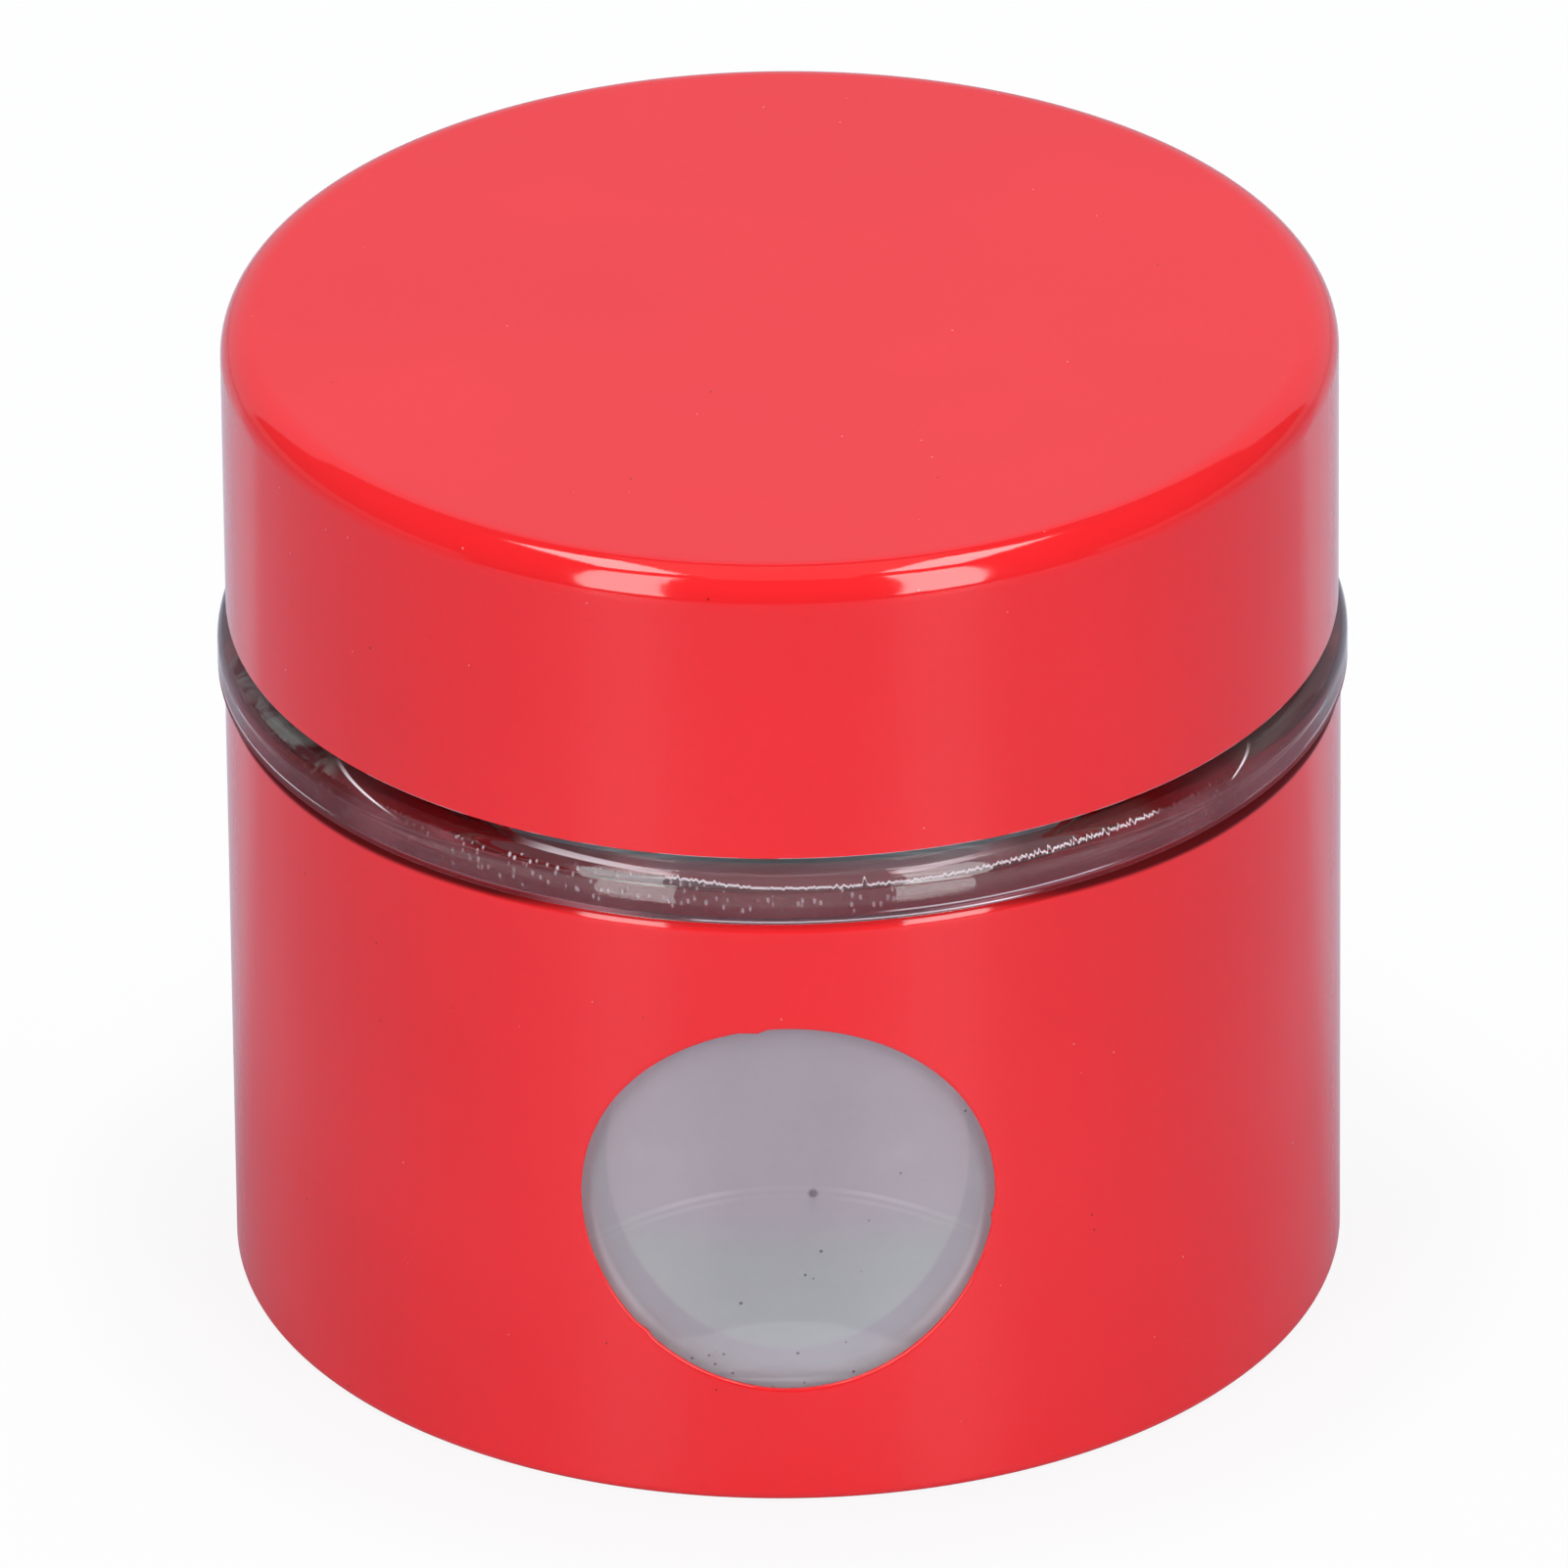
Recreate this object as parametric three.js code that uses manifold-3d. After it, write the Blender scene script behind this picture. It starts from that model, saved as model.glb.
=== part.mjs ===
// Tea canister: a glass jar in a lacquered steel sleeve with a round window, closed by a deep screw lid.
// Millimetres, +Z up. The origin is the centre of the foot on the table, and the window faces -Y.
import * as THREE from "three";
import { mergeVertices } from "three/addons/utils/BufferGeometryUtils.js";
import Module from "manifold-3d";

// Sleeve: a steel tube, rolled in at its rim and turned in at its foot.
const sleeveDiameter = 100;
const sleeveHeight = 58.8;
const sleeveSheet = 0.6;
const rimInnerBend = 0.6;
const footInnerBend = 0.3;
const footReachUnderGlass = 3.3;
const windowDiameter = 36.6;
const windowCentreHeight = 29.8;

// Glass jar: heel, wall, bead, neck and mouth.
const jarWall = 3.6;
const jarBaseThickness = 5;
const heelRadius = 3;
const bearingWidth = 7;
const puntDepth = 1.2;
const floorCornerRadius = 5;
const exposedGlass = 6.4;
const beadOverhang = 0.6;
const beadCorner = 0.3;
const beadCrest = 2.4;
const shoulderSlope = 25;
const shoulderDrop = 0.3;
const shoulderFillet = 1.2;
const innerShoulderDrop = 3;
const neckWall = 3.2;
const mouthLipRadius = 1.5;

// Lid: a drawn steel shell over a plastic screw cap with a plug ring and a gasket.
const lidInset = 0.2;
const lidHeight = 28;
const lidSheet = 0.5;
const lidEdgeRadius = 3.2;
const insertWall = 1.8;
const insertPanel = 1.6;
const insertRecess = 1.5;
const plugWall = 1.2;
const plugDepth = 3.5;
const gasketWidth = 4.5;
const gasketThickness = 2;

// Screw thread: right-handed ridges on the neck, with matching ridges inside the plastic cap.
const threadStarts = 3;
const threadLead = 18;
const threadHeight = 1.4;
const threadTurn = 140;
const threadFade = 18;
const threadRunIn = 3;
const threadBaseShare = 0.5;
const threadCrestShare = 0.22;
const firstThreadAngle = -152;

// Clearances between neighbouring pieces.
const jarGap = 1.1;
const rimGap = 0.3;
const seatGap = 0.15;
const glueGap = 0.15;
const insertGap = 0.15;
const threadGap = 0.4;
const plugGap = 0.6;
const gasketGap = 0.15;
const gasketSideGap = 0.25;

// Glue: its height above the foot, and how far down the heel it reaches, in degrees below the horizontal.
const glueHeight = 2.6;
const glueReach = 70;

// How fine the round shapes are: facets round the axis, degrees per step of an arc or a thread, and points
// on the shoulder's curve. A thread ridge is rooted this deep in its wall.
const facets = 48;
const windowFacets = 64;
const arcStep = 25;
const threadStep = 7;
const shoulderPoints = 5;
const ridgeRoot = 0.4;

// Radii worked out from the sleeve inwards and from the lid inwards.
const sleeveRadius = sleeveDiameter / 2;
const sleeveBore = sleeveRadius - sleeveSheet;
const jarRadius = sleeveBore - jarGap;
const jarBore = jarRadius - jarWall;
const beadRadius = sleeveRadius + beadOverhang;
const bearingRadius = jarRadius - heelRadius;
const footBore = bearingRadius - footReachUnderGlass;
const lipBore = jarRadius + rimGap;
const lidRadius = sleeveRadius - lidInset;
const lidBore = lidRadius - lidSheet;
const insertRadius = lidBore - insertGap;
const insertBore = insertRadius - insertWall;
const neckRadius = insertBore - threadGap - threadHeight;
const mouthRadius = neckRadius - neckWall;
const plugRadius = mouthRadius - plugGap;
const gasketBore = plugRadius + gasketSideGap;

// Heights worked out from the table up and from the lid's top down.
const jarFoot = sleeveSheet + seatGap;
const jarFloor = jarFoot + jarBaseThickness;
const beadFoot = sleeveHeight + seatGap;
const lidFoot = sleeveHeight + exposedGlass;
const shoulderTop = lidFoot - shoulderDrop;
const crestTurn = THREE.MathUtils.degToRad(90 - shoulderSlope);
const slopeReach = beadRadius - beadCrest * (1 - Math.cos(crestTurn)) - neckRadius - shoulderFillet;
const beadHeight = shoulderTop - beadCrest * Math.sin(crestTurn) - slopeReach / Math.tan(crestTurn);
const lidTop = lidFoot + lidHeight;
const insertTop = lidTop - lidSheet - insertGap;
const insertCeiling = insertTop - insertPanel;
const insertFoot = lidFoot + insertRecess;
const gasketTop = insertCeiling - gasketGap;
const gasketFoot = gasketTop - gasketThickness;
const mouthHeight = gasketFoot - gasketGap;

// The thread's form: ridges one pitch apart, and the cap's ridges half a pitch below the glass ones.
const threadPitch = threadLead / threadStarts;
const threadBase = threadPitch * threadBaseShare;
const threadCrest = threadPitch * threadCrestShare;
const glassThreadHeight = lidFoot + threadRunIn;
const capThreadHeight = insertFoot + threadBase / 2 + ridgeRoot;
const capThreadDelay = ((capThreadHeight - glassThreadHeight + threadPitch / 2) / threadLead) * 360;

const wasm = await Module();
wasm.setup();

const radians = THREE.MathUtils.degToRad;

function point(radius, height) {
  return new THREE.Vector2(radius, height);
}

// Points on an arc in the plane of radius and height, with angles in degrees from the outward direction.
function arc(radius, height, size, from, to) {
  const steps = Math.ceil(Math.abs(to - from) / arcStep);
  const points = [];
  for (let i = 0; i <= steps; i++) {
    const angle = radians(from + ((to - from) * i) / steps);
    points.push(point(radius + size * Math.cos(angle), height + size * Math.sin(angle)));
  }
  return points;
}

// The same vertices shared between faces, with no face that has shrunk to a line.
function closed(geometry) {
  geometry.deleteAttribute("normal");
  geometry.deleteAttribute("uv");
  const merged = mergeVertices(geometry, 1e-4);
  const index = merged.index.array;
  const kept = [];
  for (let i = 0; i < index.length; i += 3) {
    const [a, b, c] = index.slice(i, i + 3);
    if (a !== b && b !== c && c !== a) kept.push(a, b, c);
  }
  merged.setIndex(kept);
  return merged;
}

function solid(geometry) {
  const bare = closed(geometry);
  const mesh = new wasm.Mesh({
    numProp: 3,
    vertProperties: bare.attributes.position.array,
    triVerts: new Uint32Array(bare.index.array),
  });
  return new wasm.Manifold(mesh);
}

// A solid turned about Z. Its outline runs outwards below, up the outside and down the inside.
function turned(outline) {
  const geometry = new THREE.LatheGeometry(outline, facets);
  geometry.rotateX(Math.PI / 2);
  return solid(geometry);
}

function ring(outline) {
  return turned([...outline, outline[0]]);
}

// One screw ridge: a trapezium swept along a helix, fading out at both ends. It stands on a wall of the
// given radius, outwards where side is 1 and inwards where it is -1.
function threadRidge(wallRadius, side, startAngle, startHeight) {
  const steps = Math.round(threadTurn / threadStep);
  const corners = [];
  for (let i = 0; i <= steps; i++) {
    const turn = (threadTurn * i) / steps;
    const nearestEnd = Math.min(turn, threadTurn - turn);
    const rise = threadHeight * Math.min(1, nearestEnd / threadFade);
    const root = wallRadius - side * ridgeRoot;
    const crest = wallRadius + side * rise;
    const height = startHeight + (threadLead * turn) / 360;
    const angle = radians(startAngle + turn);
    const section = [
      [root, height - threadBase / 2],
      [crest, height - threadCrest / 2],
      [crest, height + threadCrest / 2],
      [root, height + threadBase / 2],
    ];
    for (const [radius, level] of section) {
      corners.push(radius * Math.cos(angle), radius * Math.sin(angle), level);
    }
  }
  const faces = [];
  function quad(a, b, c, d) {
    if (side > 0) faces.push(a, b, c, a, c, d);
    else faces.push(c, b, a, d, c, a);
  }
  for (let i = 0; i < steps; i++) {
    for (let j = 0; j < 4; j++) {
      const next = (j + 1) % 4;
      quad(4 * i + j, 4 * i + 4 + j, 4 * i + 4 + next, 4 * i + next);
    }
  }
  const last = 4 * steps;
  quad(0, 1, 2, 3);
  quad(last + 3, last + 2, last + 1, last);
  const geometry = new THREE.BufferGeometry();
  geometry.setAttribute("position", new THREE.Float32BufferAttribute(corners, 3));
  geometry.setIndex(faces);
  return solid(geometry);
}

function withThread(body, wallRadius, side, startAngle, startHeight) {
  let joined = body;
  for (let i = 0; i < threadStarts; i++) {
    const angle = startAngle + (360 * i) / threadStarts;
    joined = joined.add(threadRidge(wallRadius, side, angle, startHeight));
  }
  return joined;
}

function part(name, body, material) {
  const { vertProperties, triVerts } = body.getMesh();
  const geometry = new THREE.BufferGeometry();
  geometry.setAttribute("position", new THREE.BufferAttribute(vertProperties, 3));
  geometry.setIndex(new THREE.BufferAttribute(triVerts, 1));
  geometry.computeVertexNormals();
  const mesh = new THREE.Mesh(geometry, material);
  mesh.name = name;
  return mesh;
}

// Steel tube with its window punched through the front.
function sleeve() {
  const footBend = footInnerBend + sleeveSheet;
  const rimBend = Math.min(rimInnerBend + sleeveSheet, sleeveRadius - lipBore);
  const footCentre = sleeveRadius - footBend;
  const rimCentre = sleeveRadius - rimBend;
  const rimLevel = sleeveHeight - rimBend;
  const tube = ring([
    point(footBore, 0),
    ...arc(footCentre, footBend, footBend, -90, 0),
    ...arc(rimCentre, rimLevel, rimBend, 0, 90),
    point(lipBore, sleeveHeight),
    point(lipBore, sleeveHeight - sleeveSheet),
    ...arc(rimCentre, rimLevel, rimBend - sleeveSheet, 90, 0),
    ...arc(footCentre, footBend, footInnerBend, 0, -90),
    point(footBore, sleeveSheet),
  ]);
  const windowRadius = windowDiameter / 2;
  const punch = new THREE.CylinderGeometry(windowRadius, windowRadius, sleeveDiameter, windowFacets);
  punch.translate(0, -sleeveRadius, windowCentreHeight);
  return tube.subtract(solid(punch));
}

// Pressed glass jar. Its bead overhangs the sleeve's rim with a crisp lower edge, and its round crest runs into a
// shoulder that slopes up to the neck.
function glassJar() {
  const lip = Math.min(mouthLipRadius, neckWall / 2);
  const filletLevel = shoulderTop + shoulderFillet;
  const innerShoulder = new THREE.CubicBezierCurve(
    point(mouthRadius, filletLevel),
    point(mouthRadius, beadHeight),
    point(jarBore, beadHeight),
    point(jarBore, sleeveHeight - innerShoulderDrop),
  );
  const body = turned([
    point(0, jarFoot + puntDepth),
    point(bearingRadius - bearingWidth, jarFoot),
    ...arc(bearingRadius, jarFoot + heelRadius, heelRadius, -90, 0),
    point(jarRadius, beadFoot),
    ...arc(beadRadius - beadCorner, beadFoot + beadCorner, beadCorner, -90, 0),
    ...arc(beadRadius - beadCrest, beadHeight, beadCrest, 0, 90 - shoulderSlope),
    ...arc(neckRadius + shoulderFillet, filletLevel, shoulderFillet, 270, 180),
    ...arc(neckRadius - lip, mouthHeight - lip, lip, 0, 90),
    ...arc(mouthRadius + lip, mouthHeight - lip, lip, 90, 180),
    ...innerShoulder.getPoints(shoulderPoints),
    ...arc(jarBore - floorCornerRadius, jarFloor + floorCornerRadius, floorCornerRadius, 0, -90),
    point(0, jarFloor),
  ]);
  return withThread(body, neckRadius, 1, firstThreadAngle, glassThreadHeight);
}

// Glue in the corner between the glass heel and the foot of the sleeve.
function glueRing() {
  const heelLevel = jarFoot + heelRadius;
  const size = heelRadius + glueGap;
  const foot = sleeveSheet + glueGap;
  const top = foot + glueHeight;
  const outer = sleeveBore - glueGap;
  const topAngle = THREE.MathUtils.radToDeg(Math.asin((top - heelLevel) / size));
  const inner = arc(bearingRadius, heelLevel, size, topAngle, -glueReach);
  return ring([point(inner[inner.length - 1].x, foot), point(outer, foot), point(outer, top), ...inner]);
}

// Drawn steel cap, open below.
function lidShell() {
  const centre = lidRadius - lidEdgeRadius;
  const level = lidTop - lidEdgeRadius;
  return turned([
    point(0, lidTop - lidSheet),
    ...arc(centre, level, lidEdgeRadius - lidSheet, 90, 0),
    point(lidBore, lidFoot),
    point(lidRadius, lidFoot),
    ...arc(centre, level, lidEdgeRadius, 0, 90),
    point(0, lidTop),
  ]);
}

// Moulded screw cap with the inner thread and the ring that plugs the mouth.
function threadInsert() {
  const centre = lidRadius - lidEdgeRadius;
  const level = lidTop - lidEdgeRadius;
  const corner = lidEdgeRadius - lidSheet - insertGap;
  const plugFoot = insertCeiling - plugDepth;
  const body = turned([
    point(0, insertCeiling),
    point(plugRadius - plugWall, insertCeiling),
    point(plugRadius - plugWall, plugFoot),
    point(plugRadius, plugFoot),
    point(plugRadius, insertCeiling),
    point(insertBore, insertCeiling),
    point(insertBore, insertFoot),
    point(insertRadius, insertFoot),
    ...arc(centre, level, corner, 0, 90),
    point(0, insertTop),
  ]);
  const startAngle = firstThreadAngle + capThreadDelay;
  return withThread(body, insertBore, -1, startAngle, capThreadHeight);
}

function gasket() {
  return ring([
    point(gasketBore, gasketFoot),
    point(gasketBore + gasketWidth, gasketFoot),
    point(gasketBore + gasketWidth, gasketTop),
    point(gasketBore, gasketTop),
  ]);
}

const redLacquer = new THREE.MeshStandardMaterial({ color: 0xe8383e, roughness: 0.2, metalness: 0 });
const clearGlass = new THREE.MeshStandardMaterial({
  color: 0xdfe8e4,
  roughness: 0.03,
  metalness: 0,
  transparent: true,
  opacity: 0.35,
});
const clearGlue = new THREE.MeshStandardMaterial({ color: 0xe6e2d2, roughness: 0.3, metalness: 0 });
const darkPlastic = new THREE.MeshStandardMaterial({ color: 0x2b2827, roughness: 0.5, metalness: 0 });
const silicone = new THREE.MeshStandardMaterial({ color: 0xe4e2dc, roughness: 0.6, metalness: 0 });

const jarGroup = new THREE.Group();
jarGroup.add(part("glass_jar", glassJar(), clearGlass));
jarGroup.add(part("sleeve", sleeve(), redLacquer));
jarGroup.add(part("glue_ring", glueRing(), clearGlue));

const lidGroup = new THREE.Group();
lidGroup.add(part("lid_shell", lidShell(), redLacquer.clone()));
lidGroup.add(part("thread_insert", threadInsert(), darkPlastic));
lidGroup.add(part("gasket", gasket(), silicone));

const canister = new THREE.Group();
canister.add(jarGroup, lidGroup);

export default canister;
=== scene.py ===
import math

import bmesh
import bpy
from mathutils import Matrix, Vector


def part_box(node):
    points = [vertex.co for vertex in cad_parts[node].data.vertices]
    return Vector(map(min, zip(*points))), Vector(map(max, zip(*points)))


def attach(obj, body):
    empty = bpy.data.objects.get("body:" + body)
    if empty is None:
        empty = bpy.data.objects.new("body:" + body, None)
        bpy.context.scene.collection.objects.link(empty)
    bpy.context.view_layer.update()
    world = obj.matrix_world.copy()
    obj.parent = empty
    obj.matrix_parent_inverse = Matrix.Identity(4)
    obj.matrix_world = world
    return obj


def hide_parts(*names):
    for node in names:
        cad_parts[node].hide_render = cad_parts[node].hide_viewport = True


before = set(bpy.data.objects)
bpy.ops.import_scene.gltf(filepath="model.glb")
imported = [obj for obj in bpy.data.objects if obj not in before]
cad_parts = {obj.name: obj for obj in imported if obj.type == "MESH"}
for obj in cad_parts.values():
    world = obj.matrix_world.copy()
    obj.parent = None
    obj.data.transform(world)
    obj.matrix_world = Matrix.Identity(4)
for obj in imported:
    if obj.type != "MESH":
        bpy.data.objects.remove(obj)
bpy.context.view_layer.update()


# Glass jar: clear pressed soda-lime glass with a heavy base, a bead above the sleeve's rim and a
# three-start thread on its neck, turned from one outline. The mould leaves a pip under the base and a
# wavy seam and press marks on the bead, and a thin film dulls the bead and the glass in the window.
# The film also carries painted light and shade: painted highlights on the seam and bead, painted shade
# under the lid and at the sides, painted reflections, and a painted lighter oval and arc in the window.
MM = 0.001
sharp_angle = math.radians(35)


class Wire:
    """One output of a node. Arithmetic on it adds Math nodes, and node() adds any other node to its tree."""

    def __init__(self, tree, node=None, output=0):
        self.tree = tree
        self.owner = node
        self.socket = node.outputs[output] if node else None

    def __getitem__(self, output):
        return Wire(self.tree, self.owner, output)

    def node(self, kind, settings=None, inputs=None, output=0):
        made = self.tree.nodes.new(kind)
        for name, value in (settings or {}).items():
            setattr(made, name, value)
        for name, value in (inputs or {}).items():
            if isinstance(value, Wire):
                self.tree.links.new(value.socket, made.inputs[name])
            else:
                made.inputs[name].default_value = value
        return Wire(self.tree, made, output) if made.outputs else None

    def maths(self, operation, *values):
        return self.node("ShaderNodeMath", {"operation": operation}, dict(enumerate(values)))

    def __add__(self, other):
        return self.maths("ADD", self, other)

    __radd__ = __add__

    def __sub__(self, other):
        return self.maths("SUBTRACT", self, other)

    def __rsub__(self, other):
        return self.maths("SUBTRACT", other, self)

    def __mul__(self, other):
        return self.maths("MULTIPLY", self, other)

    __rmul__ = __mul__

    def __truediv__(self, other):
        return self.maths("DIVIDE", self, other)

    def __rtruediv__(self, other):
        return self.maths("DIVIDE", other, self)

    def __lt__(self, other):
        return self.maths("LESS_THAN", self, other)

    def __gt__(self, other):
        return self.maths("GREATER_THAN", self, other)

    def __abs__(self):
        return self.maths("ABSOLUTE", self)

    def rise(self, low, high):
        """0 below low, 1 above high and smooth between; falling where low is above high."""
        span = {"Value": self, "From Min": low, "From Max": high}
        return self.node("ShaderNodeMapRange", {"interpolation_type": "SMOOTHSTEP"}, span)

    def blend(self, start, end):
        """The colour start where this is 0 and end where it is 1."""
        return self.node("ShaderNodeMix", {"data_type": "RGBA"}, {0: self, 6: start, 7: end}, 2)

    def noise(self, scale, detail):
        """Cloudy noise round 0.5 at these coordinates."""
        return self.node("ShaderNodeTexNoise", None, {"Vector": self, "Scale": scale, "Detail": detail})

    def bump(self, strength, distance):
        """The normal of a surface that has this as its height."""
        relief = {"Strength": strength, "Distance": distance, "Height": self}
        return self.node("ShaderNodeBump", None, relief, "Normal")


def arc(radius, height, size, start, end, step=6):
    """Points on an arc in the plane of radius and height, at angles in degrees from outward."""
    steps = math.ceil(abs(end - start) / step)
    turns = [math.radians(start + (end - start) * i / steps) for i in range(steps + 1)]
    return [(radius + size * math.cos(a), height + size * math.sin(a)) for a in turns]


def straight(start, end, spacing):
    """Points between two corners of an outline, a small step from each corner and evenly between."""
    length = math.dist(start, end)
    corner_step = 0.25 * MM
    near = corner_step / length
    steps = math.ceil(length / spacing)
    shares = [near] + [i / steps for i in range(1, steps)] + [1 - near]
    return [tuple(a + (b - a) * s for a, b in zip(start, end)) for s in shares]


def lathe():
    """A tree that turns an outline, points in the plane of X and Z, once round the Z axis."""
    tree = bpy.data.node_groups.new("lathe", "GeometryNodeTree")
    sockets = {"Outline": "Geometry", "Facets": "Int", "Finish": "Material"}
    for name, kind in sockets.items():
        tree.interface.new_socket(name, in_out="INPUT", socket_type="NodeSocket" + kind)
    tree.interface.new_socket("Piece", in_out="OUTPUT", socket_type="NodeSocketGeometry")
    weld = 0.002 * MM
    start = Wire(tree)
    given = start.node("NodeGroupInput")
    outline = given["Outline"]
    across = given["Facets"] + 1
    mesh = {"component": "MESH"}
    count = start.node("GeometryNodeAttributeDomainSize", mesh, {0: outline}, "Point Count")
    squares = {"Vertices X": count, "Vertices Y": across}
    sheet = start.node("GeometryNodeMeshGrid", None, squares, "Mesh")
    index = start.node("GeometryNodeInputIndex")
    row = start.maths("FLOOR", index / across)
    angle = (index - row * across) * (2 * math.pi) / given["Facets"]
    picks = {"data_type": "FLOAT_VECTOR", "domain": "POINT"}
    place = start.node("GeometryNodeInputPosition")
    wanted = {"Geometry": outline, "Value": place, "Index": row}
    corner = start.node("GeometryNodeSampleIndex", picks, wanted)
    flat = start.node("ShaderNodeSeparateXYZ", None, {0: corner})
    east = flat["X"] * start.maths("SINE", angle) * -1
    north = flat["X"] * start.maths("COSINE", angle) * -1
    point = start.node("ShaderNodeCombineXYZ", None, {"X": east, "Y": north, "Z": flat["Z"]})
    shaped = start.node("GeometryNodeSetPosition", None, {"Geometry": sheet, "Position": point})
    closed = start.node("GeometryNodeMergeByDistance", None, {"Geometry": shaped, "Distance": weld})
    smooth = start.node("GeometryNodeSetShadeSmooth", None, {0: closed, "Shade Smooth": True})
    real = start.node("GeometryNodeRealizeInstances", None, {"Geometry": smooth})
    piece = start.node("GeometryNodeSetMaterial", None, {"Geometry": real, "Material": given["Finish"]})
    start.node("NodeGroupOutput", None, {"Piece": piece})
    return tree


def screw_thread(starts):
    """A tree that raises right-handed screw ridges on a turned wall, fading out at both ends."""
    tree = bpy.data.node_groups.new("screw_thread", "GeometryNodeTree")
    tree.interface.new_socket("Turned", in_out="INPUT", socket_type="NodeSocketGeometry")
    sizes = "Wall Radius,Side,Lead,Height,Base,Crest,Turn,Fade,First Angle,First Level".split(",")
    for name in sizes:
        tree.interface.new_socket(name, in_out="INPUT", socket_type="NodeSocketFloat")
    tree.interface.new_socket("Finish", in_out="INPUT", socket_type="NodeSocketMaterial")
    tree.interface.new_socket("Piece", in_out="OUTPUT", socket_type="NodeSocketGeometry")
    start = Wire(tree)
    given = start.node("NodeGroupInput")
    at = start.node("ShaderNodeSeparateXYZ", None, {0: start.node("GeometryNodeInputPosition")})
    angle = start.maths("ARCTAN2", at["Y"], at["X"])
    radius = start.maths("SQRT", at["X"] * at["X"] + at["Y"] * at["Y"])
    ridge = 0
    for i in range(starts):
        behind = angle - given["First Angle"] - 2 * math.pi * i / starts
        turn = start.maths("WRAP", behind, 2 * math.pi, 0.0)
        level = given["First Level"] + given["Lead"] * turn / (2 * math.pi)
        form = abs(at["Z"] - level).rise(given["Base"] / 2, given["Crest"] / 2)
        ends = start.maths("MINIMUM", turn, given["Turn"] - turn).rise(0.0, given["Fade"])
        ridge = start.maths("MAXIMUM", ridge, form * ends)
    on_wall = abs(radius - given["Wall Radius"]) < 0.05 * MM
    out = given["Side"] * given["Height"] * ridge * on_wall / radius
    move = start.node("ShaderNodeCombineXYZ", None, {"X": at["X"] * out, "Y": at["Y"] * out})
    raised = start.node("GeometryNodeSetPosition", None, {"Geometry": given["Turned"], "Offset": move})
    real = start.node("GeometryNodeRealizeInstances", None, {"Geometry": raised})
    piece = start.node("GeometryNodeSetMaterial", None, {"Geometry": real, "Material": given["Finish"]})
    start.node("NodeGroupOutput", None, {"Piece": piece})
    return tree


def turned(name, outline, *steps):
    """The piece that the trees in steps, each with its values, make of an outline."""
    drawn = bpy.data.meshes.new(name + "_outline")
    drawn.from_pydata([(radius, 0, height) for radius, height in outline], [], [])
    blank = bpy.data.objects.new(name + "_outline", drawn)
    bpy.context.scene.collection.objects.link(blank)
    for tree, values in steps:
        modifier = blank.modifiers.new(tree.name, "NODES")
        modifier.node_group = tree
        for socket in tree.interface.items_tree:
            if socket.name in values:
                modifier[socket.identifier] = values[socket.name]
    made = blank.evaluated_get(bpy.context.evaluated_depsgraph_get())
    mesh = bpy.data.meshes.new_from_object(made)
    mesh.name = name
    mesh.set_sharp_from_angle(angle=sharp_angle)
    bpy.data.objects.remove(blank)
    piece = bpy.data.objects.new(name, mesh)
    bpy.context.scene.collection.objects.link(piece)
    return piece


def finish(name):
    """A new material, the start of its tree, and the Object coordinates that its patterns use."""
    material = bpy.data.materials.new(name)
    material.use_nodes = True
    material.node_tree.nodes.clear()
    start = Wire(material.node_tree)
    place = start.node("ShaderNodeTexCoord", None, None, "Object")
    return material, start, place


jar_low, jar_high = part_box("glass_jar")
sleeve_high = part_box("sleeve")[1]
lid_low, lid_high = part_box("lid_shell")
bead_radius = jar_high.x
wall_radius = sleeve_high.x - 1.7 * MM
wall_bore = wall_radius - 3.6 * MM
neck_radius = lid_high.x - 4.25 * MM
mouth_radius = neck_radius - 3.2 * MM
heel_bend = 3 * MM
bearing_radius = wall_radius - heel_bend
bearing_width = 7 * MM
floor_level = jar_low.z + 5 * MM
bead_foot = sleeve_high.z + 0.15 * MM
bead_corner = 0.3 * MM
bead_crest = 2.4 * MM
crest_turn = 65
shoulder_top = lid_low.z - 0.3 * MM
shoulder_foot = sleeve_high.z - 3 * MM
fillet = 1.2 * MM
slope = math.radians(crest_turn)
slope_reach = bead_radius - bead_crest * (1 - math.cos(slope)) - neck_radius - fillet
bead_level = shoulder_top - bead_crest * math.sin(slope) - slope_reach / math.tan(slope)
fillet_level = shoulder_top + fillet
lip = 1.5 * MM
corner = 5 * MM
window_radius = 18.3 * MM
window_level = 29.8 * MM
pip_radius = 0.9 * MM
pip_depth = 0.35 * MM
punt = jar_low.z + 1.2 * MM
flat_step = 12 * MM
wall_step = 20 * MM
ledge_step = 7 * MM
bead_step = 2 * MM
thread_step = 0.14 * MM


def shoulder(steps):
    """The jar's inner curve from the neck down to the wall, as a cubic Bezier curve."""
    bends = [
        Vector((mouth_radius, fillet_level)),
        Vector((mouth_radius, bead_level)),
        Vector((wall_bore, bead_level)),
        Vector((wall_bore, shoulder_foot)),
    ]
    points = []
    for i in range(steps + 1):
        t = i / steps
        weights = ((1 - t) ** 3, 3 * t * (1 - t) ** 2, 3 * t * t * (1 - t), t**3)
        points.append(tuple(sum((p * w for p, w in zip(bends, weights)), Vector((0, 0)))))
    return points


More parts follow.
